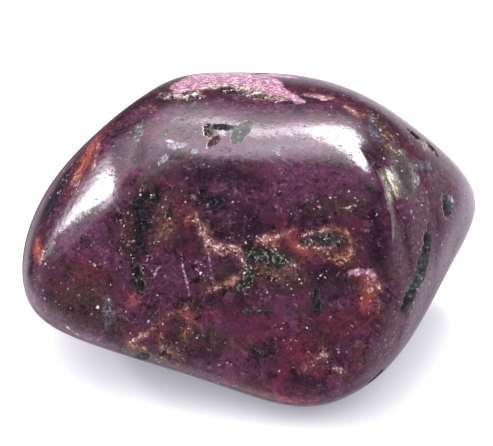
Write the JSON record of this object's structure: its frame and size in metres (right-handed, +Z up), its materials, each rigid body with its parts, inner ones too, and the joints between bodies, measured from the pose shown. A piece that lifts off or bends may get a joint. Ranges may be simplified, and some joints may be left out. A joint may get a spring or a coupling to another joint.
{
  "type": "raw ruby",
  "caption": "Tumbled, polished lump of raw ruby in dark matrix: a plum-purple pillow-shaped stone with worn flat sides, a scooped crease and small pits.",
  "frame": {"origin": "centre of the bounding box's bottom, on the surface that the stone rests on", "axes": "+Z up, +X along the stone's longest extent, -Y towards its broad front face"},
  "size_m": [0.0302, 0.0226, 0.0174],
  "materials": {
    "ruby": "tumble-polished, glossy"
  },
  "bodies": {
    "root": {"stone": "ruby"}
  },
  "joints": []
}
